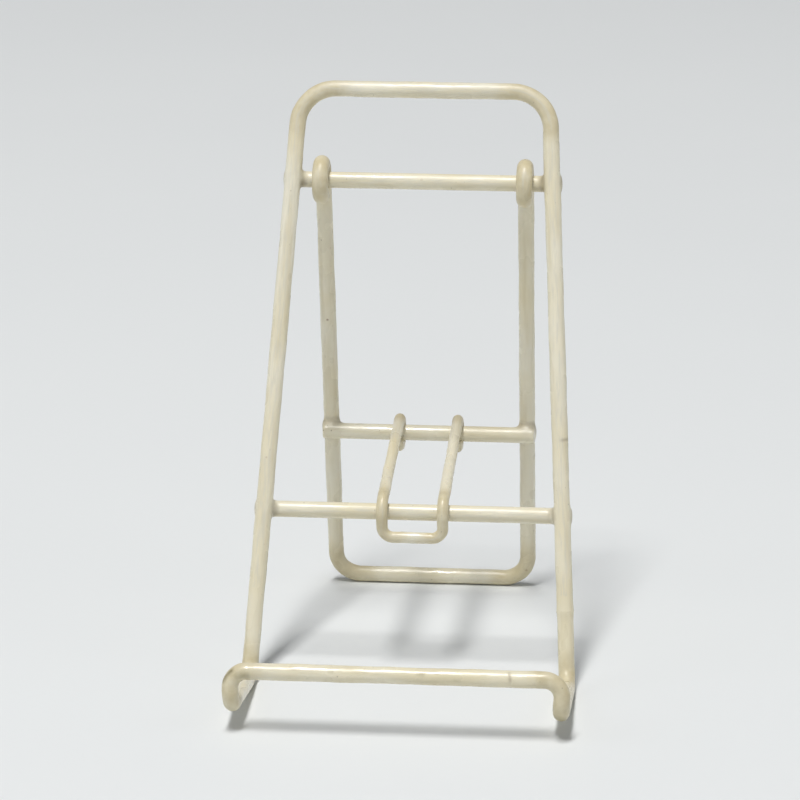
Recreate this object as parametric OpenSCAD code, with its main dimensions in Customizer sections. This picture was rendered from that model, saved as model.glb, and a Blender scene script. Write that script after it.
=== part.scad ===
// Folding plate display stand, bent from vinyl-skinned steel wire.
// A front frame carries the plate on two arms behind a low lip, a rear leg hinges on the
// frame's upper crossbar, and a hooked stay between the two lower crossbars sets the lean.
// The lip faces -Y, the table is z = 0, and the origin is under the middle of the stand.

/* [Wire] */
// Steel core of the front frame and the rear leg
core_d = 3.5; // [3:0.1:3.7]
// Vinyl skin over that core
skin_t = 0.4; // [0.3:0.05:0.5]
// Steel core of the stay
stay_core_d = 2.4; // [2:0.1:2.6]
// Vinyl skin over the stay's core
stay_skin_t = 0.3; // [0.2:0.05:0.4]

/* [Front frame] */
// Height of the whole stand
height = 150; // [140:1:180]
// Distance between the two plate arms, centre to centre
frame_w = 83.6; // [78:0.2:96]
// How much longer the lip bar is than that distance
lip_flare = 1; // [0:0.1:1.6]
// Height of the lip bar's centre above the table
lip_z = 16.3; // [15.5:0.1:20]
// Rise of the lip bar above the arms, centre to centre
lip_h = 9; // [8.9:0.1:12]
// Fall of the arms towards the heels, in degrees
arm_slope = 9; // [8:1:14]
// Backward lean of the frame, in degrees
lean = 20; // [16:1:24]
// Width of the top bar, centre to centre
top_w = 66; // [62:1:76]
// Distance from the top bar down to the upper crossbar
hinge_drop = 24; // [20:1:30]

/* [Rear leg] */
// Backward splay of the rear leg, in degrees
leg_splay = 14; // [12:1:18]
// Width of the rear leg, centre to centre
leg_w = 54; // [44:1:56]

/* [Stay] */
// Height of the lower crossbar that the stay hooks over
stay_z = 42; // [38:1:50]
// Rise of the stay from its hook to the rear leg, in degrees
stay_slope = 7; // [6:0.5:10]
// Distance between the stay's two rods, centre to centre
stay_w = 16; // [14:1:20]
// Straight drop of the hook past the crossbar
hook_drop = 2.5; // [2:0.5:4]

/* [Hidden] */
$fn = 48;

core_r = core_d / 2;
wire_r = core_r + skin_t;
stay_core_r = stay_core_d / 2;
stay_r = stay_core_r + stay_skin_t;

lip_w = frame_w + lip_flare;

left_corner_r = 4.3;   // centreline bend radii, tighter at the lip's left end
right_corner_r = 4.6;
elbow_r = 3.8;
heel_r = 6;
top_r = 10;
foot_r = 7;
hook_corner_r = 3;

weld_bite = 0.6;       // how far a crossbar sinks into the wire that it is welded to
running_gap = 0.05;    // radial play of a wire eye on its crossbar
hook_gap = 0.4;        // play of the stay's hook round the lower crossbar
eye_turn = 258;        // how far an eye's core wraps round its crossbar, in degrees
seam = 0.02;           // bends are this much stouter than straight runs
lap = 0.1;             // straight runs reach this far into the bends

// Side profile, as [y, z] points and directions, with the lip bar at y = 0.
arm_dir = [cos(arm_slope), -sin(arm_slope)];
lip_dir = [sin(arm_slope), cos(arm_slope)];
back_dir = [sin(lean), cos(lean)];
back_normal = [cos(lean), -sin(lean)];
leg_dir = [sin(leg_splay), -cos(leg_splay)];
leg_normal = [cos(leg_splay), sin(leg_splay)];

lip_p = [0, lip_z];
elbow_p = lip_p - lip_h * lip_dir;
heel_cut = heel_r * tan((90 - lean + arm_slope) / 2);
heel_start_z = wire_r + seam + heel_r * (1 - cos(arm_slope));
arm_len = (elbow_p[1] - heel_start_z) / sin(arm_slope) + heel_cut;
heel_p = elbow_p + arm_len * arm_dir;
back_len = (height - wire_r - seam - heel_p[1]) / cos(lean);
top_p = heel_p + back_len * back_dir;

weld_offset = core_d - weld_bite;
eye_r = 2 * wire_r + running_gap;
upper_up = back_len - hinge_drop;
upper_p = heel_p + upper_up * back_dir + weld_offset * back_normal;
leg_top_p = upper_p + eye_r * leg_normal;
leg_len = (leg_top_p[1] - wire_r - seam) / cos(leg_splay);
foot_p = leg_top_p + leg_len * leg_dir;

lower_up = (stay_z - heel_p[1] + weld_offset * sin(lean)) / cos(lean);
lower_p = heel_p + lower_up * back_dir + weld_offset * back_normal;

// The hook's bend is centred on the lower crossbar, and the stay's rods run from it to the
// top of the rear crossbar, which sets how far down the leg that crossbar is.
stay_dir = [cos(stay_slope), sin(stay_slope)];
stay_normal = [-sin(stay_slope), cos(stay_slope)];
hook_r = wire_r + hook_gap + stay_r;
stay_eye_r = wire_r + running_gap + stay_r;
rear_start_p = leg_top_p - weld_offset * leg_normal;
rear_down = (hook_r - stay_eye_r - (rear_start_p - lower_p) * stay_normal) / (leg_dir * stay_normal);
rear_p = rear_start_p + rear_down * leg_dir;

front_y = elbow_p[0] + elbow_r * (lip_dir[0] + arm_dir[0] - 1) - wire_r - seam;
middle_y = (front_y + foot_p[0] + wire_r + seam) / 2;

// Half the frame's width at a distance up the frame from the heels.
function half_w(up) = (frame_w + (top_w - frame_w) * up / back_len) / 2;

function at(x, p) = [x, p[0] - middle_y, p[1]];
function unit(v) = v / norm(v);
function turn(a, p, b) = acos(unit(p - a) * unit(b - p));

// One straight run of round wire.
module run(a, b, r) {
    d = unit(b - a);
    translate(a)
        rotate([0, acos(d[2]), atan2(d[1], d[0])])
            cylinder(r = r, h = norm(b - a));
}

// Part of a ring: it starts at centre + ring_r * side and sets off along dir.
module arc(centre, side, dir, ring_r, angle, r) {
    axis = cross(side, dir);
    multmatrix([[side[0], dir[0], axis[0], centre[0]],
                [side[1], dir[1], axis[1], centre[1]],
                [side[2], dir[2], axis[2], centre[2]]])
        rotate_extrude(angle = angle)
            translate([ring_r, 0])
                circle(r = r + seam);
}

// The bend that rounds the corner at p between the runs from a and to b.
module bend(a, p, b, bend_r, r) {
    d = unit(p - a);
    e = unit(b - p);
    inward = unit(e - d * (d * e));
    start = p - d * bend_r * tan(turn(a, p, b) / 2);
    arc(start + inward * bend_r, -inward, d, bend_r, turn(a, p, b), r);
}

// Where the run from p towards q starts, once p's corner has been rounded.
function past_bend(a, p, q, bend_r) =
    p + unit(q - p) * (bend_r * tan(turn(a, p, q) / 2) - lap);

// A wire through points, with a bend at each point but the ends of an open one.
module wire(points, radii, r, closed = false) {
    n = len(points);
    for (i = [0 : n - (closed ? 1 : 2)]) {
        a = points[(i + n - 1) % n];
        p = points[i];
        q = points[(i + 1) % n];
        b = points[(i + 2) % n];
        rounded_p = closed || i > 0;
        rounded_q = closed || i < n - 2;
        run(rounded_p ? past_bend(a, p, q, radii[i]) : p,
            rounded_q ? past_bend(b, q, p, radii[(i + 1) % n]) : q, r);
        if (rounded_p)
            bend(a, p, q, radii[i], r);
    }
}

// A wire eye round a crossbar at p, left open towards the run that it ends. The skin goes
// on past the core's cut end by its own thickness.
module eye(x, p, side, dir, ring_r, r, end_r) {
    end_turn = (r - end_r) / ring_r * 180 / PI;
    arc(at(x, p), [0, side[0], side[1]], [0, dir[0], dir[1]], ring_r, eye_turn + end_turn, r);
}

module crossbar(p, half, r) {
    run(at(-half, p), at(half, p), r);
}

module front_loop(r) {
    h = frame_w / 2;
    wire([at(-lip_w / 2, lip_p), at(lip_w / 2, lip_p),
          at(h, elbow_p), at(h, heel_p), at(top_w / 2, top_p),
          at(-top_w / 2, top_p), at(-h, heel_p), at(-h, elbow_p)],
         [left_corner_r, right_corner_r, elbow_r, heel_r, top_r, top_r, heel_r, elbow_r],
         r, closed = true);
}

// The front frame's crossbars end flush with the outside of its uprights.
module upper_crossbar(r) {
    crossbar(upper_p, half_w(upper_up) + r, r);
}

module lower_crossbar(r) {
    crossbar(lower_p, half_w(lower_up) + r, r);
}

module rear_crossbar(r) {
    crossbar(rear_p, leg_w / 2 + r, r);
}

module rear_leg(r) {
    h = leg_w / 2;
    start_p = leg_top_p - lap * leg_dir;
    wire([at(-h, start_p), at(-h, foot_p), at(h, foot_p), at(h, start_p)],
         [0, foot_r, foot_r, 0], r);
    for (x = [-h, h])
        eye(x, upper_p, leg_normal, -leg_dir, eye_r, r, core_r);
}

// The stay: two eyes on the rear crossbar, two rods, a hook over the lower crossbar, and
// the short bar that joins the rods below the hook.
module stay(r) {
    h = stay_w / 2;
    eye_p = rear_p + stay_eye_r * stay_normal + lap * stay_dir;
    hook_p = lower_p + hook_r * (stay_normal - stay_dir);
    tip_p = hook_p - (hook_r + hook_drop + hook_corner_r) * stay_normal;
    wire([at(-h, eye_p), at(-h, hook_p), at(-h, tip_p),
          at(h, tip_p), at(h, hook_p), at(h, eye_p)],
         [0, hook_r, hook_corner_r, hook_corner_r, hook_r, 0], r);
    for (x = [-h, h])
        eye(x, rear_p, stay_normal, stay_dir, stay_eye_r, r, stay_core_r);
}

module front_loop_wire() {
    color("silver") front_loop(core_r);
}

module upper_crossbar_wire() {
    color("silver") difference() {
        upper_crossbar(core_r);
        front_loop(core_r);
    }
}

module lower_crossbar_wire() {
    color("silver") difference() {
        lower_crossbar(core_r);
        front_loop(core_r);
    }
}

module front_frame_coating() {
    color("ivory") difference() {
        union() {
            front_loop(wire_r);
            upper_crossbar(wire_r);
            lower_crossbar(wire_r);
        }
        front_loop(core_r);
        upper_crossbar(core_r);
        lower_crossbar(core_r);
    }
}

module rear_leg_wire() {
    color("silver") rear_leg(core_r);
}

module rear_crossbar_wire() {
    color("silver") difference() {
        rear_crossbar(core_r);
        rear_leg(core_r);
    }
}

module rear_leg_coating() {
    color("ivory") difference() {
        union() {
            rear_leg(wire_r);
            rear_crossbar(wire_r);
        }
        rear_leg(core_r);
        rear_crossbar(core_r);
    }
}

module stay_wire() {
    color("silver") stay(stay_core_r);
}

module stay_coating() {
    color("ivory") difference() {
        stay(stay_r);
        stay(stay_core_r);
    }
}

front_loop_wire();
upper_crossbar_wire();
lower_crossbar_wire();
front_frame_coating();
rear_leg_wire();
rear_crossbar_wire();
rear_leg_coating();
stay_wire();
stay_coating();
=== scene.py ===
"""Looks of the folding plate stand: ivory vinyl skins, steel wire, table, lights and camera.

Each skin is one closed surface, drawn round the wires' centrelines and then settled onto a smooth
distance field. The field is where the vinyl's own shape comes from: round cut ends, menisci at the
welds, a skin that drained thicker on its undersides, weld swellings and hairline cracks.
"""

import math

import bmesh
import bpy
import numpy as np
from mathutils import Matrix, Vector


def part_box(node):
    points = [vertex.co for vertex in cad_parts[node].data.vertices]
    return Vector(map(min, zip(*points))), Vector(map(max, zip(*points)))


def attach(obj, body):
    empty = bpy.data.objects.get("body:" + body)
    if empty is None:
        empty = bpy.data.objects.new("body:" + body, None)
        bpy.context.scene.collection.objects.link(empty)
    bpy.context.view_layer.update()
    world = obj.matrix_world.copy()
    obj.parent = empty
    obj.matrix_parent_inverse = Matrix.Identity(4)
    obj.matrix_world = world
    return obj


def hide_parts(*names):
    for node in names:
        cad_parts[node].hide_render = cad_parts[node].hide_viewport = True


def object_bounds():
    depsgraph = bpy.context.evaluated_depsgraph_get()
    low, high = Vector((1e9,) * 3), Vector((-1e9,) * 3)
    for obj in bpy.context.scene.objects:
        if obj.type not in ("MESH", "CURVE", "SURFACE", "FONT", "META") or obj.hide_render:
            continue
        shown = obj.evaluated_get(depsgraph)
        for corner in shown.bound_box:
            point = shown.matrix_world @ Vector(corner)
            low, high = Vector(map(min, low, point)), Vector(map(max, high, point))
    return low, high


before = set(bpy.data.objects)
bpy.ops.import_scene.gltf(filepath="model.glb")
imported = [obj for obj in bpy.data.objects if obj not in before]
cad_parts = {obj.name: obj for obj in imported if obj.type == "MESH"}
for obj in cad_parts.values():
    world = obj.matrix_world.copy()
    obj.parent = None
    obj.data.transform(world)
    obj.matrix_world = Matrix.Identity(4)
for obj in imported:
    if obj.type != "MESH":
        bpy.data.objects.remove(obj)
cad_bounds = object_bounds()

MM = 0.001

# The wires' design in millimetres, as the frame was built. Radii of wires are over their skins,
# widths and LIP_H are between centrelines, and LIP_Z is the lip bar's centreline over the table.
# check_design() holds the centrelines that come from it against the frame's own boxes.
WIRE_R, SKIN_T = 2.15, 0.4
STAY_R, STAY_SKIN_T = 1.5, 0.3
HEIGHT = 150.0
FRAME_W = 83.6
LIP_W = 84.6
LIP_Z = 16.3
LIP_H = 9.0
ARM_SLOPE = math.radians(9)
LEAN = math.radians(20)
TOP_W = 66.0
LEG_SPLAY = math.radians(14)
LEG_W = 54.0
STAY_SLOPE = math.radians(7)
STAY_W = 16.0
HOOK_DROP = 2.5
LEFT_CORNER_R, RIGHT_CORNER_R, ELBOW_R = 4.3, 4.6, 3.8
HEEL_R, TOP_R, FOOT_R, HOOK_CORNER_R = 6.0, 10.0, 7.0, 3.0
WELD_OFFSET = 2.9       # between the centrelines of two welded wires
RUNNING_GAP = 0.05
HOOK_GAP = 0.4
EYE_TURN = math.radians(258)
SEAM = 0.02
BUTT_WELD_UP = 19.0     # where the loop's two ends are welded, up the right upright
MAX_STRAY = 0.1         # most that a piece's box may differ from the frame's
CHECK_POINTS = 65       # places along each run or bend where its box is measured
FIRST_ACROSS = np.array([0.3, 0.5, 0.8])    # starts a wire's frame, and lies along no wire
TINY = 1e-9             # added to each length that is divided by


def unit(v):
    return v / np.linalg.norm(v)


def node_centre(node):
    """Centre of a CAD node's box in millimetres."""
    low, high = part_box(node)
    return np.array((low + high) / 2) / MM


def node_half_length(node):
    """Half of a CAD node's extent along X, in millimetres."""
    low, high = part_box(node)
    return (high.x - low.x) / 2 / MM


# ---------------------------------------------------------------- centrelines


class Part:
    """One straight run of a wire, or one bend, with the distance along the wire at its start.

    A frame of two directions across the wire is carried along it without twist, so that a
    point's place on the straightened wire can be told from its place in space.
    """

    def __init__(self, start, length, across):
        self.start = start
        self.length = length
        self.across = across
        self.free = {"start": False, "end": False}


class Run(Part):
    def __init__(self, a, b, start, across):
        super().__init__(start, np.linalg.norm(b - a), across)
        self.a, self.b = a, b
        self.tangent = unit(b - a)
        self.bent = False

    def at(self, t):
        across = np.broadcast_to(self.across, (len(t), 3))
        tangent = np.broadcast_to(self.tangent, (len(t), 3))
        return self.a + np.outer(t, self.tangent), tangent, across

    def nearest(self, p):
        return (p - self.a) @ self.tangent

    def end_across(self):
        return self.across


class Bend(Part):
    def __init__(self, centre, side, tangent, ring_r, angle, start, across):
        super().__init__(start, ring_r * angle, across)
        self.centre, self.side, self.tangent = centre, side, tangent
        self.axis = np.cross(side, tangent)
        self.ring_r, self.angle = ring_r, angle
        self.bent = True
        self.across_parts = (across @ side, across @ self.axis)

    def at(self, t):
        turn = (t / self.ring_r)[:, None]
        out = np.cos(turn) * self.side + np.sin(turn) * self.tangent
        tangent = np.cos(turn) * self.tangent - np.sin(turn) * self.side
        across = self.across_parts[0] * out + self.across_parts[1] * self.axis
        return self.centre + self.ring_r * out, tangent, across

    def nearest(self, p):
        q = p - self.centre
        turn = np.arctan2(q @ self.tangent, q @ self.side)
        middle = self.angle / 2
        turn = (turn - middle + math.pi) % (2 * math.pi) - math.pi + middle
        return turn * self.ring_r

    def end_across(self):
        return self.at(np.array([self.length]))[2][0]


class Wire:
    """A round wire's centreline, in millimetres: straight runs and bends laid end to end."""

    def __init__(self, radius):
        self.radius = radius
        self.parts = []
        self.length = 0.0
        self.cracks = []

    def add_run(self, a, b):
        direction = unit(b - a)
        across = self.next_across(direction)
        self.parts.append(Run(a, b, self.length, across))
        self.length += self.parts[-1].length
        return self

    def add_bend(self, centre, side, tangent, ring_r, angle):
        across = self.next_across(tangent)
        self.parts.append(Bend(centre, side, tangent, ring_r, angle, self.length, across))
        self.length += self.parts[-1].length
        return self

    def next_across(self, tangent):
        across = self.parts[-1].end_across() if self.parts else FIRST_ACROSS
        return unit(across - tangent * (across @ tangent))

    def free_ends(self):
        self.parts[0].free["start"] = True
        self.parts[-1].free["end"] = True
        return self


def corner_cut(a, p, b, bend_r):
    """How far a bend at p reaches back along its two runs, and its angle."""
    angle = math.acos(np.clip(unit(p - a) @ unit(b - p), -1, 1))
    return bend_r * math.tan(angle / 2), angle


def wire_through(points, radii, radius):
    """A wire through points, with a bend at each but the first and the last."""
    wire = Wire(radius)
    last = len(points) - 1
    for i in range(last):
        p, q = points[i], points[i + 1]
        along = unit(q - p)
        start, end = p, q
        if i > 0:
            cut, angle = corner_cut(points[i - 1], p, q, radii[i])
            start = p + along * cut
            arrive = unit(p - points[i - 1])
            inward = unit(along - arrive * (arrive @ along))
            wire.add_bend(p - arrive * cut + inward * radii[i], -inward, arrive, radii[i], angle)
        if i < last - 1:
            end = q - along * corner_cut(p, q, points[i + 2], radii[i + 1])[0]
        wire.add_run(start, end)
    return wire


def run_after(wire, i):
    """The straight run that leaves the point i of a wire made by wire_through()."""
    return wire.parts[2 * i]


def flat(x, p):
    """A point from its x and its side-profile [y, z]."""
    return np.array([x, p[0], p[1]])


class Design:
    """The stand's centrelines, worked out from the design values and the frame's crossbars."""

    def __init__(self):
        self.upper = node_centre("upper_crossbar_wire")[1:]
        self.lower = node_centre("lower_crossbar_wire")[1:]
        self.rear = node_centre("rear_crossbar_wire")[1:]
        back = np.array([math.sin(LEAN), math.cos(LEAN)])
        back_normal = np.array([math.cos(LEAN), -math.sin(LEAN)])
        on_back = self.upper - WELD_OFFSET * back_normal
        lip_dir = np.array([math.sin(ARM_SLOPE), math.cos(ARM_SLOPE)])
        arm_dir = np.array([math.cos(ARM_SLOPE), -math.sin(ARM_SLOPE)])
        self.top = on_back + back * (HEIGHT - WIRE_R - SEAM - on_back[1]) / back[1]
        heel_start_z = WIRE_R + SEAM + HEEL_R * (1 - math.cos(ARM_SLOPE))
        heel_cut = HEEL_R * math.tan((math.pi / 2 - LEAN + ARM_SLOPE) / 2)
        heel_z = heel_start_z - heel_cut * math.sin(ARM_SLOPE)
        self.heel = on_back + back * (heel_z - on_back[1]) / back[1]
        elbow_z = LIP_Z - LIP_H * lip_dir[1]
        self.elbow = self.heel - arm_dir * (elbow_z - heel_z) / math.sin(ARM_SLOPE)
        self.lip = self.elbow + LIP_H * lip_dir
        self.back_normal = back_normal

        self.leg_dir = np.array([math.sin(LEG_SPLAY), -math.cos(LEG_SPLAY)])
        self.leg_normal = np.array([math.cos(LEG_SPLAY), math.sin(LEG_SPLAY)])
        self.eye_r = 2 * WIRE_R + RUNNING_GAP
        self.leg_top = self.upper + self.eye_r * self.leg_normal
        leg_len = (self.leg_top[1] - WIRE_R - SEAM) / math.cos(LEG_SPLAY)
        self.foot = self.leg_top + leg_len * self.leg_dir

        self.stay_dir = np.array([math.cos(STAY_SLOPE), math.sin(STAY_SLOPE)])
        self.stay_normal = np.array([-math.sin(STAY_SLOPE), math.cos(STAY_SLOPE)])
        self.hook_r = WIRE_R + HOOK_GAP + STAY_R
        self.stay_eye_r = WIRE_R + RUNNING_GAP + STAY_R

    def loop(self):
        """The front wire, from its butt weld up the right upright and round to the weld again."""
        h, lip = FRAME_W / 2, LIP_W / 2
        heel, top = flat(h, self.heel), flat(TOP_W / 2, self.top)
        butt = heel + unit(top - heel) * BUTT_WELD_UP
        points = [butt, top, flat(-TOP_W / 2, self.top), flat(-h, self.heel),
                  flat(-h, self.elbow), flat(-lip, self.lip), flat(lip, self.lip),
                  flat(h, self.elbow), heel, butt]
        radii = [0, TOP_R, TOP_R, HEEL_R, ELBOW_R, LEFT_CORNER_R, RIGHT_CORNER_R, ELBOW_R,
                 HEEL_R, 0]
        return wire_through(points, radii, WIRE_R)

    def crossbar(self, node, place):
        half = node_half_length(node) + SKIN_T
        return Wire(WIRE_R).add_run(flat(-half, place), flat(half, place)).free_ends()

    def with_eyes(self, rods, x, centre, side, tangent, ring_r, skin_t):
        """The wire rods, led into at its start and out of at its end by an eye on a crossbar."""
        reach = EYE_TURN + skin_t / ring_r
        side3, tangent3 = flat(0, side), flat(0, tangent)
        cut_side = math.cos(reach) * side3 + math.sin(reach) * tangent3
        cut_tangent = math.sin(reach) * side3 - math.cos(reach) * tangent3
        wire = Wire(rods.radius)
        wire.add_bend(flat(-x, centre), cut_side, cut_tangent, ring_r, reach)
        for part in rods.parts:
            if isinstance(part, Run):
                wire.add_run(part.a, part.b)
            else:
                wire.add_bend(part.centre, part.side, part.tangent, part.ring_r, part.angle)
        wire.add_bend(flat(x, centre), side3, tangent3, ring_r, reach)
        return wire.free_ends()

    def leg(self):
        x = LEG_W / 2
        points = [flat(-x, self.leg_top), flat(-x, self.foot),
                  flat(x, self.foot), flat(x, self.leg_top)]
        rods = wire_through(points, [0, FOOT_R, FOOT_R, 0], WIRE_R)
        return self.with_eyes(rods, x, self.upper, self.leg_normal, -self.leg_dir,
                              self.eye_r, SKIN_T)

    def stay(self):
        x = STAY_W / 2
        eye = self.rear + self.stay_eye_r * self.stay_normal
        hook = self.lower + self.hook_r * (self.stay_normal - self.stay_dir)
        tip = hook - (self.hook_r + HOOK_DROP + HOOK_CORNER_R) * self.stay_normal
        points = [flat(-x, eye), flat(-x, hook), flat(-x, tip),
                  flat(x, tip), flat(x, hook), flat(x, eye)]
        rods = wire_through(points, [0, self.hook_r, HOOK_CORNER_R, HOOK_CORNER_R,
                                     self.hook_r, 0], STAY_R)
        return self.with_eyes(rods, x, self.rear, self.stay_normal, self.stay_dir,
                              self.stay_eye_r, STAY_SKIN_T)


def check_design(node, wires):
    """Stops the script if wires drawn here stray from the frame's own piece."""
    lows, highs = [], []
    for wire in wires:
        for part in wire.parts:
            points, tangents, _ = part.at(np.linspace(0, part.length, CHECK_POINTS))
            reach = wire.radius * np.sqrt(np.clip(1 - tangents**2, 0, 1))
            lows.append((points - reach).min(0))
            highs.append((points + reach).max(0))
    low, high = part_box(node)
    stray = max(np.abs(np.min(lows, 0) - np.array(low) / MM).max(),
                np.abs(np.max(highs, 0) - np.array(high) / MM).max())
    if stray > MAX_STRAY:
        raise ValueError(f"{node} is drawn {stray:.2f} mm away from the frame's")


# ---------------------------------------------------------------- the skin's distance field

END_ROUND = 0.42        # radius that the vinyl rounds a cut end with, mm
END_REACH = 3           # wire radii from a cut end within which its rounding counts
CORNER_FROM = 1e-6      # a point this far past a cut end's flat and side is at its rounding
WELD_FILLET = 2.2       # width of the blend between two welded wires, mm
FLAT_GRADIENT = 0.3     # gradients are not taken as smaller than this when settling


def part_field(part, p, radius):
    """Distance from a part's surface, its gradient, and the point's place on the wire.

    A place is how far along the wire a point is, then two distances across it.
    """
    t = part.nearest(p)
    inner = np.clip(t, 0, part.length)
    point, tangent, across = part.at(inner)
    offset = p - point
    axial = np.einsum("ij,ij->i", offset, tangent)
    radial = offset - axial[:, None] * tangent
    rho = np.linalg.norm(radial, axis=1) + TINY
    outward = radial / rho[:, None]
    reach = np.linalg.norm(offset, axis=1) + TINY
    distance = reach - radius
    gradient = offset / reach[:, None]
    for end, sign, beyond in (("start", -1.0, -t), ("end", 1.0, t - part.length)):
        if not part.free[end]:
            continue
        near = beyond > -END_REACH * radius
        across_q = rho - (radius - END_ROUND)
        along_q = np.where(near, beyond, -END_REACH * radius) + END_ROUND
        corner = np.hypot(np.maximum(across_q, 0), np.maximum(along_q, 0)) + TINY
        inside = np.minimum(np.maximum(across_q, along_q), 0)
        capped = corner + inside - END_ROUND
        weight_out = np.where(corner > CORNER_FROM, np.maximum(across_q, 0) / corner,
                              across_q > along_q)
        weight_along = np.sqrt(np.clip(1 - weight_out**2, 0, 1))
        lead = weight_out[:, None] * outward + (sign * weight_along)[:, None] * tangent
        distance = np.where(near, capped, distance)
        gradient = np.where(near[:, None], lead, gradient)
    second = np.cross(tangent, across)
    place = np.stack([part.start + t, np.einsum("ij,ij->i", radial, across),
                      np.einsum("ij,ij->i", radial, second)], axis=1)
    return distance, gradient, place


def wire_field(wire, p):
    """The nearest part's field at each point of p."""
    distance = np.full(len(p), np.inf)
    gradient = np.zeros((len(p), 3))
    place = np.zeros((len(p), 3))
    for part in wire.parts:
        d, g, where = part_field(part, p, wire.radius)
        closer = d < distance
        distance[closer] = d[closer]
        gradient[closer] = g[closer]
        place[closer] = where[closer]
    return distance, gradient, place


class Skin:
    """Vinyl over welded wires. relief(wire's index, place, gradient) gives its fine detail."""

    def __init__(self, wires, relief):
        self.wires = wires
        self.relief = relief

    def field(self, p):
        """Signed distance, gradient, place on the nearest wire, which one, nearness of a weld."""
        fields = []
        for i, wire in enumerate(self.wires):
            d, g, place = wire_field(wire, p)
            fields.append((d - self.relief(i, place, g), g, place))
        d, g, place = fields[0]
        owner = np.zeros(len(p), int)
        weld = np.zeros(len(p))
        for i, (d2, g2, place2) in enumerate(fields[1:], start=1):
            share = np.clip(0.5 + 0.5 * (d2 - d) / WELD_FILLET, 0, 1)
            closer = d2 < d
            owner[closer] = i
            place = np.where(closer[:, None], place2, place)
            d = d2 * (1 - share) + d * share - WELD_FILLET * share * (1 - share)
            g = g2 * (1 - share)[:, None] + g * share[:, None]
            weld = np.maximum(weld, 4 * share * (1 - share))
        return d, g, place, owner, weld

    def settle(self, p, steps=3):
        """Moves points onto the surface, none of them below the table."""
        for _ in range(steps):
            d, g = self.field(p)[:2]
            size = np.maximum(np.linalg.norm(g, axis=1), FLAT_GRADIENT)
            p = p - (d / size**2)[:, None] * g
        p[:, 2] = np.maximum(p[:, 2], 0.0)
        return p


# ---------------------------------------------------------------- meshes

TUBE_SIDES = 14
BEND_STEP, RUN_STEP = 0.5, 4.0      # between a rough tube's rings, mm
SAME_POINT = 1e-5       # two of a tube's vertices closer than this are one, mm
EVENING_ROUNDS = 4
CRACK_CUTS = 3          # cuts across each face edge near a crack
FRONT_VOXEL, LEG_VOXEL, STAY_VOXEL = 0.40, 0.33, 0.24


def tube(bm, wire):
    """A rough closed tube round a wire, as the start of its skin."""
    grow = 1 / math.cos(math.pi / TUBE_SIDES)
    rings = []
    for part in wire.parts:
        count = max(2, int(part.length / (BEND_STEP if part.bent else RUN_STEP)) + 1)
        points, tangents, across = part.at(np.linspace(0, part.length, count))
        for point, tangent, first in zip(points, tangents, across):
            second = np.cross(tangent, first)
            turns = [2 * math.pi * k / TUBE_SIDES for k in range(TUBE_SIDES)]
            ring = [point + wire.radius * grow * (math.cos(a) * first + math.sin(a) * second)
                    for a in turns]
            rings.append([bm.verts.new(v) for v in ring])
    for a, b in zip(rings, rings[1:]):
        for k in range(TUBE_SIDES):
            j = (k + 1) % TUBE_SIDES
            bm.faces.new((a[k], a[j], b[j], b[k]))
    bm.faces.new(list(reversed(rings[0])))
    bm.faces.new(rings[-1])


def remeshed(bm, voxel):
    """One even, closed surface round all of bm's tubes."""
    mesh = bpy.data.meshes.new("rough")
    bmesh.ops.remove_doubles(bm, verts=bm.verts, dist=SAME_POINT)
    bm.to_mesh(mesh)
    bm.free()
    rough = bpy.data.objects.new("rough", mesh)
    bpy.context.scene.collection.objects.link(rough)
    modifier = rough.modifiers.new("even", "REMESH")
    modifier.mode = "VOXEL"
    modifier.voxel_size = voxel
    depsgraph = bpy.context.evaluated_depsgraph_get()
    even = bpy.data.meshes.new_from_object(rough.evaluated_get(depsgraph))
    bpy.data.objects.remove(rough)
    return even


def coordinates(mesh):
    co = np.zeros(len(mesh.vertices) * 3)
    mesh.vertices.foreach_get("co", co)
    return co.reshape(-1, 3)


def relaxed(p, edges):
    """Points moved halfway to the middle of their neighbours, which evens the faces out."""
    total = np.zeros_like(p)
    count = np.zeros(len(p))
    for a, b in ((0, 1), (1, 0)):
        np.add.at(total, edges[:, a], p[edges[:, b]])
        np.add.at(count, edges[:, a], 1)
    return 0.5 * p + 0.5 * total / count[:, None]


def refine(mesh, skin, needs_detail, cuts):
    """Splits the faces where needs_detail(owner, place) is true, to hold finer relief."""
    _, _, place, owner, _ = skin.field(coordinates(mesh))
    wanted = needs_detail(owner, place)
    bm = bmesh.new()
    bm.from_mesh(mesh)
    bm.verts.ensure_lookup_table()
    edges = [e for e in bm.edges if wanted[e.verts[0].index] and wanted[e.verts[1].index]]
    bmesh.ops.subdivide_edges(bm, edges=edges, cuts=cuts, use_grid_fill=True)
    bm.to_mesh(mesh)
    bm.free()


def build_skin(name, skin, voxel, needs_detail=None):
    """The skin's final object, in metres, with its surface measures kept as attributes."""
    bm = bmesh.new()
    for wire in skin.wires:
        tube(bm, wire)
    mesh = remeshed(bm, voxel)
    edges = np.zeros(len(mesh.edges) * 2, int)
    mesh.edges.foreach_get("vertices", edges)
    edges = edges.reshape(-1, 2)
    p = skin.settle(coordinates(mesh))
    for _ in range(EVENING_ROUNDS):
        p = skin.settle(relaxed(p, edges), steps=1)
    mesh.vertices.foreach_set("co", skin.settle(p).ravel())
    if needs_detail:
        refine(mesh, skin, needs_detail, CRACK_CUTS)
        mesh.vertices.foreach_set("co", skin.settle(coordinates(mesh)).ravel())
    p = coordinates(mesh)
    _, gradient, place, owner, weld = skin.field(p)
    keep_measures(mesh, skin, p, gradient, place, owner, weld)
    keep_wire_place(mesh, skin, p, owner)
    mesh.vertices.foreach_set("co", (p * MM).ravel())
    mesh.name = name
    mesh.shade_smooth()
    mesh.update()
    skin_object = bpy.data.objects.new(name, mesh)
    bpy.context.scene.collection.objects.link(skin_object)
    return skin_object


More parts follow.
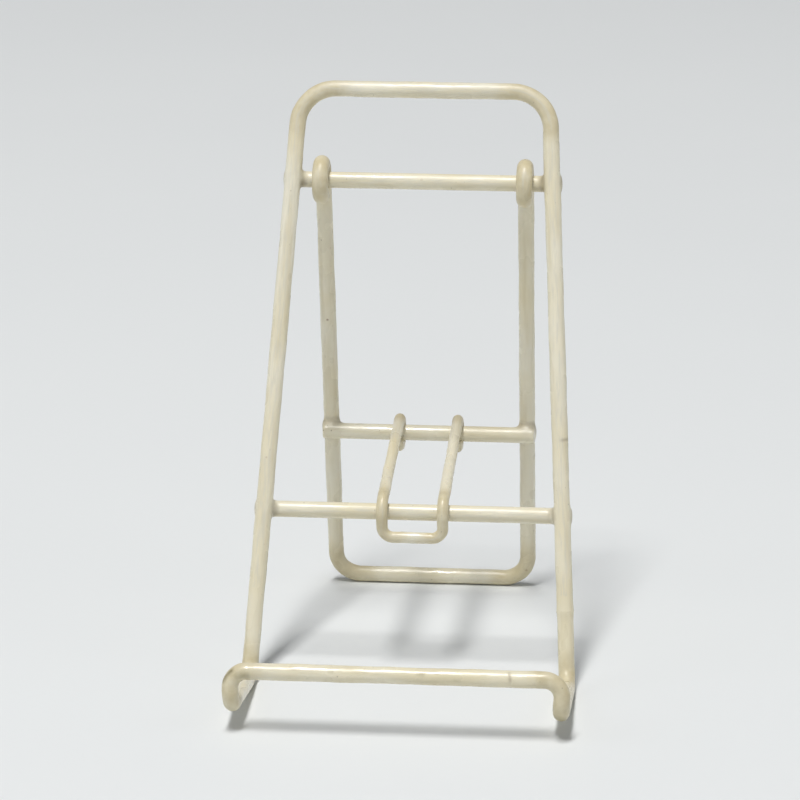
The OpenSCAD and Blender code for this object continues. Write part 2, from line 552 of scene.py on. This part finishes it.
def smoothstep(low, high, x):
    t = np.clip((x - low) / (high - low), 0, 1)
    return t * t * (3 - 2 * t)


BEND_FADE = 6.0         # how far from a bend its yellowing fades out, mm
WIRE_APART = 0.05       # keeps one wire's texture place clear of the next wire's, m


def bend_nearness(wire, s):
    """From 0 on a straight run to 1 inside a bend, fading over a few millimetres."""
    near = np.zeros(len(s))
    for part in wire.parts:
        if part.bent:
            half = part.length / 2
            away = np.abs(s - part.start - half)
            near = np.maximum(near, 1 - smoothstep(half, half + BEND_FADE, away))
    return near


def keep(mesh, name, values):
    attribute = mesh.attributes.new(name, "FLOAT", "POINT")
    attribute.data.foreach_set("value", values.astype(np.float32))


def keep_measures(mesh, skin, p, gradient, place, owner, weld):
    """Stores what the vinyl's material reads: bends, welds, cracks, rubbing, undersides for their
    painted shade, marks of soil and painted shade.
    """
    bends = np.zeros(len(p))
    cracks = np.zeros(len(p))
    for i, wire in enumerate(skin.wires):
        mine = owner == i
        bends[mine] = bend_nearness(wire, place[mine, 0])
        cracks[mine] = crack_stain(wire, place[mine])
    keep(mesh, "bend", bends)
    keep(mesh, "weld", weld)
    keep(mesh, "crack", cracks)
    keep(mesh, "rubbed", rubbing(p, gradient))
    # Painted shade: how far the skin faces down, for the darker tint on its undersides.
    keep(mesh, "under", np.clip(-gradient[:, 2], 0, 1))
    # Marks of soil, and painted shade beneath the two elbows.
    keep(mesh, "soil_and_shade_mark", soil_and_shade_near(p))


def keep_wire_place(mesh, skin, p, owner):
    """Stores each face corner's place on its face's own wire, which never jumps within a face."""
    places = np.stack([wire_field(wire, p)[2] for wire in skin.wires])
    lengths = np.array([wire.length for wire in skin.wires])
    vertex = np.zeros(len(mesh.loops), int)
    mesh.loops.foreach_get("vertex_index", vertex)
    first = np.zeros(len(mesh.polygons), int)
    mesh.polygons.foreach_get("loop_start", first)
    sides = np.zeros(len(mesh.polygons), int)
    mesh.polygons.foreach_get("loop_total", sides)
    face_owner = np.repeat(owner[vertex[first]], sides)
    place = places[face_owner, vertex]
    farthest = np.repeat(np.maximum.reduceat(place[:, 0], first), sides)
    length = lengths[face_owner]
    place[:, 0] += np.where(farthest - place[:, 0] > length / 2, length, 0)
    place *= MM
    place[:, 1] += face_owner * WIRE_APART
    attribute = mesh.attributes.new("wire_place", "FLOAT_VECTOR", "CORNER")
    attribute.data.foreach_set("vector", place.astype(np.float32).ravel())


# ---------------------------------------------------------------- the vinyl's own shape

DESIGN = Design()
MAIN = 0                # a skin's bent wire, which comes before its crossbars
EYE_CLEAR = 2.0         # how far past an eye its wire stays plain, mm
BUTT_WELD = 0.14        # swelling where the loop's two ends are welded, mm
BUTT_WELD_W = 1.5       # half its width, mm
DRAINED, LEG_DRAINED = 0.05, 0.04   # how much thicker the skin is on undersides, mm
CRACK_DEPTH = 0.05      # of its groove, mm
CRACK_W = 0.14          # half the width of a crack's groove, mm
CRACK_DETAIL = 0.9      # how far from a crack the mesh is finer, mm
CRACK_OPENS, CRACK_GAPES = 0.6, 0.98    # cosines of the turn from the side that it faces
STAIN_W = 0.48          # half the width of the stain along a crack, mm
STAIN, STAIN_GAPING = 0.02, 0.32        # its strength, and what is added where the crack gapes
LIP_CRACK_X = 28.8      # the lip's crack, right of its middle, mm
ARM_CRACK, RIGHT_CRACK, LEFT_CRACK = 13.0, 45.0, 31.0   # the others, from their runs' starts
LIP_ZONE, LIP_ZONE_DOWN = 3.0, 4.0      # the lip bar's reach from its centreline, in y and down
BACK_ZONE, BACK_ZONE_FROM = 6.0, 24.0   # the uprights' thickness allowed for, and their start
TABLE_RUB = 0.12        # height over the table below which the skin is rubbed, mm
LIP_FACING, REST_FACING = 0.55, 0.8     # cosines of the turn from the plate that still rub
TO_RIM = unit(np.array([0, 1, 0.35]))   # from the lip to the plate's rim

# The dipped skin's unevenness: height in mm, waves per mm along it, waves round it, phase.
LUMPS = [(0.034, 0.020, 0, 0.0), (0.030, 0.049, 1, 1.7), (0.022, 0.083, -2, 0.6),
         (0.014, 0.134, 1, 4.4), (0.010, 0.190, 3, 2.9), (0.006, 0.310, -1, 5.3)]

# What makes each skin's unevenness its own.
LOOP_PHASE, LEG_PHASE, STAY_PHASE = 0.4, 2.2, 4.1

# How a crack wanders along the wire as it goes round it: height in mm, waves round it, phase.
CRACK_WANDER = [(0.16, 1, 0.7), (0.07, 3, 0.0)]

# Marks on the front skin, of soil and, beneath the two elbows, of painted shade: the two ends of
# each and its half-width, all in mm, and its strength.
FRONT_SIDE = 1.7        # from the wire's centreline forward to the marks on its front, mm
LIP_FRONT, LEG_FRONT = DESIGN.lip[0] - FRONT_SIDE, DESIGN.elbow[0] - FRONT_SIDE
SOIL_AND_SHADE_MARKS = [((-43.7, LIP_FRONT + 0.4, 14.0), (-41.6, LIP_FRONT + 0.4, 16.7), 0.8, 1.0),
         ((-40.2, LIP_FRONT, 15.9), (-37.6, LIP_FRONT, 15.8), 1.0, 0.62),
         ((-40.1, LEG_FRONT, 10.8), (-40.2, LEG_FRONT, 9.4), 0.6, 0.80),
         # The next two are painted shade beneath the left and the right elbow, where the wire
         # faces the table.
         ((-42.4, DESIGN.elbow[0], 6.0), (-42.4, DESIGN.elbow[0] + 1, 5.6), 1.8, 0.45),
         ((41.4, DESIGN.elbow[0] - 0.2, 5.6), (42.6, DESIGN.elbow[0] + 1, 5.4), 1.7, 0.90),
         ((39.9, LEG_FRONT, 11.8), (40.0, LEG_FRONT, 10.6), 0.8, 0.65),
         # A darker patch low on the right leg's outer side.
         ((43.6, LEG_FRONT, 9.2), (43.5, LEG_FRONT, 8.0), 0.9, 0.5),
         ((5.7, LIP_FRONT, 17.6), (7.0, LIP_FRONT, 17.4), 0.7, 0.40),
         ((15.0, LIP_FRONT, 16.3), (16.4, LIP_FRONT, 16.1), 0.7, 0.40),
         ((-16.8, LIP_FRONT, 17.6), (-15.9, LIP_FRONT, 17.5), 0.6, 0.35),
         ((-40.3, DESIGN.heel[0] + 14, 38.0), (-39.9, DESIGN.heel[0] + 16, 42.0), 1.1, 0.65),
         ((33.5, DESIGN.top[0] - 4, 138.0), (33.3, DESIGN.top[0] - 3, 141.0), 1.3, 0.65)]


def turn_of(place):
    return np.arctan2(place[:, 2], place[:, 1])


def lumps(place, phase):
    """Slow changes in the dipped skin's thickness, along and round the wire."""
    s, turn = place[:, 0], turn_of(place)
    return sum(height * np.sin(2 * math.pi * along * s + round_it * turn + start * phase)
               for height, along, round_it, start in LUMPS)


def crack_across(run, along, facing):
    """A hairline crack across a straight run: its place on the wire, and the turn it faces."""
    second = np.cross(run.tangent, run.across)
    return run.start + along, math.atan2(facing @ second, facing @ run.across)


def crack_offset(place, crack):
    """Distance along the wire from a crack, which wanders as it goes round."""
    s, facing = crack
    turn = turn_of(place) - facing
    offset = place[:, 0] - s
    for height, waves, start in CRACK_WANDER:
        offset = offset - height * np.sin(waves * turn + start)
    return offset


def crack_openness(place, crack):
    """From 0 where the crack is closed to 1 where it gapes, on the side that it faces."""
    return smoothstep(CRACK_OPENS, CRACK_GAPES, np.cos(turn_of(place) - crack[1]))


def crack_stain(wire, place):
    """From 0 to 1, how far dirt from the nearest crack has stained the vinyl."""
    stain = np.zeros(len(place))
    for crack in wire.cracks:
        spread = np.exp(-(crack_offset(place, crack) / STAIN_W) ** 2)
        strength = STAIN + STAIN_GAPING * crack_openness(place, crack)
        stain = np.maximum(stain, strength * spread)
    return stain


def soil_and_shade_near(p):
    """From 0 to 1, how strong the nearest of the soil and shade marks is; those beneath the elbows
    are painted shade.
    """
    soil_and_shade_mark = np.zeros(len(p))
    for start, end, half_width, strength in SOIL_AND_SHADE_MARKS:
        start, run = np.array(start), np.array(end) - np.array(start)
        along = np.clip((p - start) @ run / (run @ run), 0, 1)
        away = np.linalg.norm(p - start - np.outer(along, run), axis=1)
        soil_and_shade_mark = np.maximum(soil_and_shade_mark, strength * np.exp(-(away / half_width) ** 2))
    return soil_and_shade_mark


def loop_relief(wire):
    """Relief for the front loop, whose skin has drained, cracked, and swells over the weld."""
    def relief(i, place, gradient):
        if i != MAIN:
            return np.zeros(len(place))
        s = place[:, 0]
        from_weld = np.minimum(np.abs(s), np.abs(wire.length - s))
        height = lumps(place, LOOP_PHASE) + DRAINED * np.clip(-gradient[:, 2], 0, 1)
        height += BUTT_WELD * np.exp(-(from_weld / BUTT_WELD_W) ** 2)
        for crack in wire.cracks:
            groove = np.exp(-(crack_offset(place, crack) / CRACK_W) ** 2)
            height -= CRACK_DEPTH * crack_openness(place, crack) * groove
        return height

    return relief


def eyed_relief(wire, phase):
    """Relief for a wire with an eye at each end, where the skin stays plain."""
    eye = wire.parts[0].length

    def relief(i, place, gradient):
        if i != MAIN:
            return np.zeros(len(place))
        s = place[:, 0]
        from_eye = np.minimum(s - eye, wire.length - eye - s)
        drained = LEG_DRAINED * np.clip(-gradient[:, 2], 0, 1)
        return smoothstep(0, EYE_CLEAR, from_eye) * (lumps(place, phase) + drained)

    return relief


def rubbing(p, gradient):
    """From 0 to 1, where a plate rests on the vinyl or the vinyl rests on the table."""
    y, z = p[:, 1], p[:, 2]
    lip_y, lip_z = DESIGN.lip
    heel_y = DESIGN.heel[0]
    on_lip = (np.abs(y - lip_y) < LIP_ZONE) & (z > lip_z - LIP_ZONE_DOWN)
    on_arm = (y > lip_y + LIP_ZONE) & (y < heel_y - HEEL_R) & (z < lip_z - LIP_ZONE_DOWN)
    on_back = (y - heel_y < (z + BACK_ZONE) * math.tan(LEAN)) & (z > BACK_ZONE_FROM)
    to_plate = gradient @ TO_RIM
    to_front = gradient @ -flat(0, DESIGN.back_normal)
    rub = np.where(on_lip, smoothstep(LIP_FACING, 1.0, to_plate), 0)
    rub = np.where(on_arm, smoothstep(REST_FACING, 1.0, gradient[:, 2]), rub)
    rub = np.where(on_back, smoothstep(REST_FACING, 1.0, to_front), rub)
    return np.maximum(rub, 1 - smoothstep(0.0, TABLE_RUB, z))


def cracked_loop():
    """The front wire, with the places of its skin's hairline cracks."""
    wire = DESIGN.loop()
    lip, arm = run_after(wire, 5), run_after(wire, 7)
    right_upright, left_upright = run_after(wire, 0), run_after(wire, 2)
    wire.cracks = [crack_across(lip, LIP_CRACK_X - lip.a[0], np.array([0, -0.85, 0.53])),
                   crack_across(arm, ARM_CRACK, np.array([0.8, 0, 0.6])),
                   crack_across(right_upright, RIGHT_CRACK, np.array([0.7, -0.7, 0])),
                   crack_across(left_upright, LEFT_CRACK, np.array([-0.5, 0.85, 0]))]
    return wire


def near_a_crack(wire):
    """A test of which points on the bent wire's skin are close to a crack."""
    def near(owner, place):
        close = np.zeros(len(place), bool)
        for crack in wire.cracks:
            close |= np.abs(crack_offset(place, crack)) < CRACK_DETAIL
        return close & (owner == MAIN)

    return near


loop, leg, stay = cracked_loop(), DESIGN.leg(), DESIGN.stay()
front_wires = [loop, DESIGN.crossbar("upper_crossbar_wire", DESIGN.upper),
               DESIGN.crossbar("lower_crossbar_wire", DESIGN.lower)]
leg_wires = [leg, DESIGN.crossbar("rear_crossbar_wire", DESIGN.rear)]
check_design("front_frame_coating", front_wires)
check_design("rear_leg_coating", leg_wires)
check_design("stay_coating", [stay])

front_skin = build_skin("front_frame_vinyl", Skin(front_wires, loop_relief(loop)), FRONT_VOXEL,
                        needs_detail=near_a_crack(loop))
leg_skin = build_skin("rear_leg_vinyl", Skin(leg_wires, eyed_relief(leg, LEG_PHASE)), LEG_VOXEL)
stay_skin = build_skin("stay_vinyl", Skin([stay], eyed_relief(stay, STAY_PHASE)), STAY_VOXEL)
for piece, body, node in ((front_skin, "front_frame", "front_frame_coating"),
                          (leg_skin, "rear_leg", "rear_leg_coating"),
                          (stay_skin, "stay", "stay_coating")):
    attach(piece, body)
    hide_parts(node)


# ---------------------------------------------------------------- materials

NOISE_ROUGHNESS = 0.55
SPECK_EDGE = 0.3        # share of a speck's reach over which it fades in


class Shader:
    """A material's node tree, with short ways to add the nodes that the finishes use."""

    def __init__(self, name):
        self.material = bpy.data.materials.new(name)
        self.material.use_nodes = True
        self.nodes = self.material.node_tree.nodes
        self.links = self.material.node_tree.links
        self.principled = self.nodes["Principled BSDF"]

    def node(self, kind, inputs=(), **settings):
        made = self.nodes.new(kind)
        for name, value in settings.items():
            setattr(made, name, value)
        for name, value in dict(inputs).items():
            self.feed(made.inputs[name], value)
        return made

    def feed(self, socket, value):
        if isinstance(value, bpy.types.NodeSocket):
            self.links.new(value, socket)
        else:
            socket.default_value = value

    def set(self, **inputs):
        for name, value in inputs.items():
            self.feed(self.principled.inputs[name.replace("_", " ").title()], value)

    def measure(self, name):
        return self.node("ShaderNodeAttribute", attribute_name=name).outputs["Fac"]

    def place(self, stretch):
        """The point's place on the straightened wire, times stretch along it and across it."""
        vector = self.node("ShaderNodeAttribute", attribute_name="wire_place").outputs["Vector"]
        return self.node("ShaderNodeMapping", {"Vector": vector, "Scale": stretch}).outputs[0]

    def position(self):
        return self.node("ShaderNodeTexCoord").outputs["Object"]

    def noise(self, vector, scale, detail):
        inputs = {"Vector": vector, "Scale": scale, "Detail": detail,
                  "Roughness": NOISE_ROUGHNESS}
        return self.node("ShaderNodeTexNoise", inputs).outputs["Fac"]

    def specks(self, vector, scale, share, size):
        """Scattered round specks: a share of the scale's cells hold one, of up to size cells."""
        cells = self.node("ShaderNodeTexVoronoi", {"Vector": vector, "Scale": scale})
        picked = self.node("ShaderNodeSeparateColor", {"Color": cells.outputs["Color"]})
        held = self.math("GREATER_THAN", picked.outputs["Red"], 1 - share)
        reach = self.times(picked.outputs["Green"], size)
        inside = self.math("SUBTRACT", reach, cells.outputs["Distance"])
        return self.times(held, self.between(inside, 0.0, SPECK_EDGE * size))

    def between(self, value, low, high, to_low=0.0, to_high=1.0):
        """From to_low, where value is low or less, to to_high, where it is high or more."""
        inputs = {"Value": value, "From Min": low, "From Max": high,
                  "To Min": to_low, "To Max": to_high}
        return self.node("ShaderNodeMapRange", inputs, clamp=True).outputs[0]

    def math(self, operation, a, b):
        made = self.node("ShaderNodeMath", operation=operation)
        self.feed(made.inputs[0], a)
        self.feed(made.inputs[1], b)
        return made.outputs[0]

    def times(self, a, b):
        return self.math("MULTIPLY", a, b)

    def plus(self, a, b):
        return self.math("ADD", a, b)

    def mix(self, amount, a, b):
        """The colour a, and b over it by amount. The node's sockets 6, 7 and 2 are its colours."""
        made = self.node("ShaderNodeMix", data_type="RGBA", clamp_factor=True)
        self.feed(made.inputs["Factor"], amount)
        for socket, colour in ((made.inputs[6], a), (made.inputs[7], b)):
            self.feed(socket, colour if isinstance(colour, bpy.types.NodeSocket) else (*colour, 1))
        return made.outputs[2]

    def bump(self, height, distance, strength, normal=None):
        inputs = {"Height": height, "Distance": distance, "Strength": strength}
        if normal is not None:
            inputs["Normal"] = normal
        return self.node("ShaderNodeBump", inputs).outputs[0]


# TAN also tints the undersides as painted shade, and OLIVE paints a shade line along their
# bottoms; OLIVE and the darkest grime colour also paint shade beneath the elbows.
IVORY = (0.805, 0.768, 0.635)
IVORY_AGED = (0.765, 0.70, 0.51)
TAN = (0.585, 0.51, 0.325)
OLIVE = (0.36, 0.32, 0.19)
GRIME_AND_SHADE = (0.17, 0.125, 0.07)
RUST = (0.24, 0.115, 0.045)
CRACK = (0.13, 0.075, 0.035)
RUBBED = (0.62, 0.60, 0.52)
STEEL, STEEL_DULL, STEEL_RUST = (0.60, 0.59, 0.57), (0.36, 0.34, 0.32), (0.22, 0.09, 0.04)
TABLE_PALE, TABLE_DIM = (0.81, 0.835, 0.85), (0.795, 0.82, 0.837)

# Scales of the vinyl's textures, in features per metre. A stretch multiplies a point's place
# along the wire and across it, so that less than 1 draws the texture out.
PATCHES, MOTTLE, PEEL, CLUSTERS = 42.0, 240.0, 700.0, 70.0
FINE_SPECKS, COARSE_SPECKS, PITS = 900.0, 260.0, 1300.0
GLOSS, GLOSS_STRETCH = 150.0, (0.5, 1, 1)
LENGTHWISE, LENGTHWISE_STRETCH = 420.0, (0.10, 1, 1)
STREAKS, STREAKS_STRETCH = 1500.0, (0.12, 1, 1)
SCUFFS, SCUFFS_STRETCH = 1700.0, (2.2, 0.5, 0.5)

# The same for the steel and the table.
OXIDE, STEEL_GRAIN, RUST_SPOTS = 160.0, 2600.0, 420.0
BOARD, ROLLER = 3.0, 420.0

# The vinyl's own gloss and depth. The export keeps these only as plain values.
VINYL_BODY = {"IOR": 1.53, "Subsurface Weight": 0.06, "Subsurface Radius": (1.0, 0.8, 0.5),
              "Subsurface Scale": 0.0012}


def vinyl_colour(m, where, patches, mottle, streaks, weld):
    """Ivory, yellowed in patches, along the wire and at bends, with painted shade on the
    undersides, then soiled, rubbed and stained, with painted shade beneath the elbows.
    """
    lengthwise = m.noise(m.place(LENGTHWISE_STRETCH), LENGTHWISE, detail=3.0)
    colour = m.mix(m.between(patches, 0.34, 0.66), IVORY, IVORY_AGED)
    colour = m.mix(m.between(lengthwise, 0.48, 0.72, 0.0, 0.45), colour, TAN)
    bend = m.times(m.measure("bend"), m.between(mottle, 0.28, 0.66, 0.30, 0.95))
    colour = m.mix(bend, colour, TAN)
    # Painted shade: the undersides tinted towards tan.
    under = m.times(m.measure("under"), m.between(mottle, 0.32, 0.68, 0.12, 0.55))
    colour = m.mix(under, colour, TAN)
    # Painted shade: an olive line along the very bottom of the wire.
    underside_shade_line = m.times(m.between(m.measure("under"), 0.90, 0.995),
                        m.between(lengthwise, 0.42, 0.62, 0.0, 0.5))
    colour = m.mix(underside_shade_line, colour, OLIVE)
    colour = m.mix(weld, colour, GRIME_AND_SHADE)
    rubbed = m.times(m.measure("rubbed"), m.between(streaks, 0.42, 0.62, 0.0, 0.5))
    colour = m.mix(rubbed, colour, RUBBED)

    clusters = m.between(m.noise(where, CLUSTERS, detail=2.0), 0.42, 0.62, 0.15, 1.0)
    fine = m.times(m.specks(where, FINE_SPECKS, share=0.16, size=0.22), clusters)
    coarse = m.times(m.specks(where, COARSE_SPECKS, share=0.10, size=0.15), clusters)
    colour = m.mix(m.times(fine, 0.6), colour, GRIME_AND_SHADE)
    colour = m.mix(m.times(coarse, 0.7), colour, RUST)

    # Olive and then the darkest grime over the marks: soil, and painted shade beneath the elbows.
    soil_and_shade_mark = m.measure("soil_and_shade_mark")
    soiled = m.between(m.plus(soil_and_shade_mark, m.times(mottle, 0.35)), 0.25, 1.10, 0.0, 0.95)
    colour = m.mix(m.times(soiled, m.between(soil_and_shade_mark, 0.02, 0.25)), colour, OLIVE)
    colour = m.mix(m.between(m.times(soil_and_shade_mark, mottle), 0.38, 0.60, 0.0, 0.6), colour, GRIME_AND_SHADE)
    return m.mix(m.measure("crack"), colour, CRACK)


def vinyl_material():
    """Aged ivory PVC: satin, uneven from dipping, duller where yellowed, soiled or rubbed."""
    m = Shader("ivory_vinyl")
    where = m.position()
    patches = m.noise(where, PATCHES, detail=2.0)
    mottle = m.noise(where, MOTTLE, detail=4.0)
    gloss = m.noise(m.place(GLOSS_STRETCH), GLOSS, detail=2.0)
    streaks = m.noise(m.place(STREAKS_STRETCH), STREAKS, detail=3.0)
    scuffs = m.noise(m.place(SCUFFS_STRETCH), SCUFFS, detail=3.0)
    peel = m.noise(where, PEEL, detail=2.0)
    pits = m.specks(where, PITS, share=0.10, size=0.30)
    weld = m.times(m.measure("weld"), m.between(mottle, 0.35, 0.6, 0.05, 0.45))
    scuffed = m.times(m.between(scuffs, 0.60, 0.68), m.between(gloss, 0.45, 0.65, 0.1, 1.0))

    roughness = m.between(gloss, 0.34, 0.66, 0.17, 0.38)
    roughness = m.plus(roughness, m.times(m.measure("bend"), 0.08))
    roughness = m.plus(roughness, m.times(m.measure("rubbed"), 0.15))
    roughness = m.plus(roughness, m.times(scuffed, 0.12))
    roughness = m.plus(roughness, m.times(weld, 0.3))
    roughness = m.plus(roughness, m.times(m.measure("crack"), 0.3))
    normal = m.bump(peel, distance=0.00009, strength=0.6)
    normal = m.bump(m.between(streaks, 0.52, 0.70), distance=0.000014, strength=0.5,
                    normal=normal)
    normal = m.bump(m.math("SUBTRACT", 1.0, scuffed), distance=0.000012, strength=0.5,
                    normal=normal)
    normal = m.bump(m.math("SUBTRACT", 1.0, pits), distance=0.00003, strength=0.6,
                    normal=normal)
    m.set(base_color=vinyl_colour(m, where, patches, mottle, streaks, weld),
          roughness=roughness, normal=normal)
    for name, value in VINYL_BODY.items():
        m.principled.inputs[name].default_value = value
    return m.material


def steel_material():
    """Drawn mild steel wire: fine lines, dull oxide patches and a little rust."""
    m = Shader("steel_core")
    where = m.position()
    patches = m.noise(where, OXIDE, detail=4.0)
    grain = m.noise(where, STEEL_GRAIN, detail=2.0)
    colour = m.mix(m.between(patches, 0.4, 0.65), STEEL, STEEL_DULL)
    rust = m.between(m.noise(where, RUST_SPOTS, detail=5.0), 0.60, 0.68, 0.0, 0.7)
    colour = m.mix(rust, colour, STEEL_RUST)
    roughness = m.plus(m.between(patches, 0.3, 0.7, 0.28, 0.5), m.times(rust, 0.3))
    metal = m.between(rust, 0.0, 0.7, 1.0, 0.2)
    m.set(base_color=colour, roughness=roughness, metallic=metal,
          normal=m.bump(grain, distance=0.00001, strength=0.5))
    return m.material


def table_material():
    """A near-white painted board with the faintest roller texture."""
    m = Shader("table_top")
    where = m.position()
    tone = m.noise(where, BOARD, detail=3.0)
    roller = m.noise(where, ROLLER, detail=3.0)
    colour = m.mix(m.between(tone, 0.35, 0.65), TABLE_PALE, TABLE_DIM)
    m.set(base_color=colour, roughness=m.between(roller, 0.3, 0.7, 0.5, 0.62),
          normal=m.bump(roller, distance=0.00008, strength=0.25))
    return m.material


def assign(thing, material):
    thing.data.materials.clear()
    thing.data.materials.append(material)


vinyl, steel = vinyl_material(), steel_material()
for piece in (front_skin, leg_skin, stay_skin):
    assign(piece, vinyl)
for name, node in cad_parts.items():
    assign(node, steel if name.endswith("_wire") else vinyl)


# ---------------------------------------------------------------- table, light and camera

TABLE_RADIUS, TABLE_SIDES = 2.0, 128
WARM, COOL = (1.0, 0.985, 0.96), (0.97, 0.985, 1.0)
ROOM_COLOUR = (0.87, 0.89, 0.91)
WALL_LIGHT, CEILING_LIGHT = 0.52, 0.17
CEILING_FROM = 0.6      # sine of the height above the horizon where the ceiling begins


def disc(name, radius):
    """A flat round floor at z = 0, which meets the room's walls in a level line."""
    bm = bmesh.new()
    bmesh.ops.create_circle(bm, cap_ends=True, cap_tris=True, segments=TABLE_SIDES,
                            radius=radius)
    mesh = bpy.data.meshes.new(name)
    bm.to_mesh(mesh)
    bm.free()
    made = bpy.data.objects.new(name, mesh)
    bpy.context.scene.collection.objects.link(made)
    return made


def area_light(name, place, target, size, power, colour):
    """A rectangle light: size is its width, then its length up the slope that it faces down."""
    data = bpy.data.lights.new(name, "AREA")
    data.shape = "RECTANGLE"
    data.size, data.size_y = size
    data.energy = power
    data.color = colour
    made = bpy.data.objects.new(name, data)
    bpy.context.scene.collection.objects.link(made)
    made.location = place
    made.rotation_euler = (Vector(target) - Vector(place)).to_track_quat("-Z", "Y").to_euler()


def room(walls, ceiling):
    """Light from all round: cool white, brightest at the walls and fading towards the ceiling."""
    world = bpy.data.worlds.new("room")
    world.use_nodes = True
    nodes, links = world.node_tree.nodes, world.node_tree.links
    direction = nodes.new("ShaderNodeTexCoord")
    parts = nodes.new("ShaderNodeSeparateXYZ")
    fade = nodes.new("ShaderNodeMapRange")
    fade.inputs["From Max"].default_value = CEILING_FROM
    fade.inputs["To Min"].default_value = walls
    fade.inputs["To Max"].default_value = ceiling
    background = nodes["Background"]
    background.inputs["Color"].default_value = (*ROOM_COLOUR, 1)
    links.new(direction.outputs["Generated"], parts.inputs[0])
    links.new(parts.outputs["Z"], fade.inputs["Value"])
    links.new(fade.outputs[0], background.inputs["Strength"])
    return world


middle = (Vector(cad_bounds[0]) + Vector(cad_bounds[1])) / 2
table = disc("table", TABLE_RADIUS)
assign(table, table_material())

# A long soft light overhead, a little to the front and the left, and two weak ones at the sides.
area_light("key", (-0.40, -1.28, 4.52), middle, size=(0.60, 2.08), power=184.0, colour=WARM)
area_light("left", (-1.5, -0.6, 1.1), middle, size=(1.0, 1.0), power=3.0, colour=COOL)
area_light("right", (1.5, -0.4, 1.1), middle, size=(1.0, 1.0), power=2.2, colour=COOL)
bpy.context.scene.world = room(WALL_LIGHT, CEILING_LIGHT)
bpy.context.scene.view_settings.view_transform = "Standard"

VIEW_AZIMUTH = math.radians(5)          # the right end of the lip is nearer
VIEW_ELEVATION = math.radians(20.5)     # above the table, seen from the lip
VIEW_DISTANCE = 1.0     # from the middle of the lip
LENS = 178.0
CLIP_START = 0.01
AIM_X, AIM_HEIGHT = -0.004, 0.95        # the height is a share of the stand's middle height

lip_centre = Vector((0, *DESIGN.lip * MM))
towards = Vector((math.sin(VIEW_AZIMUTH) * math.cos(VIEW_ELEVATION),
                  -math.cos(VIEW_AZIMUTH) * math.cos(VIEW_ELEVATION),
                  math.sin(VIEW_ELEVATION)))
camera_data = bpy.data.cameras.new("camera")
camera_data.lens = LENS
camera_data.clip_start = CLIP_START
camera = bpy.data.objects.new("camera", camera_data)
bpy.context.scene.collection.objects.link(camera)
camera.location = lip_centre + towards * VIEW_DISTANCE
aim = Vector((AIM_X, middle.y, middle.z * AIM_HEIGHT))
camera.rotation_euler = (aim - camera.location).to_track_quat("-Z", "Y").to_euler()
bpy.context.scene.camera = camera
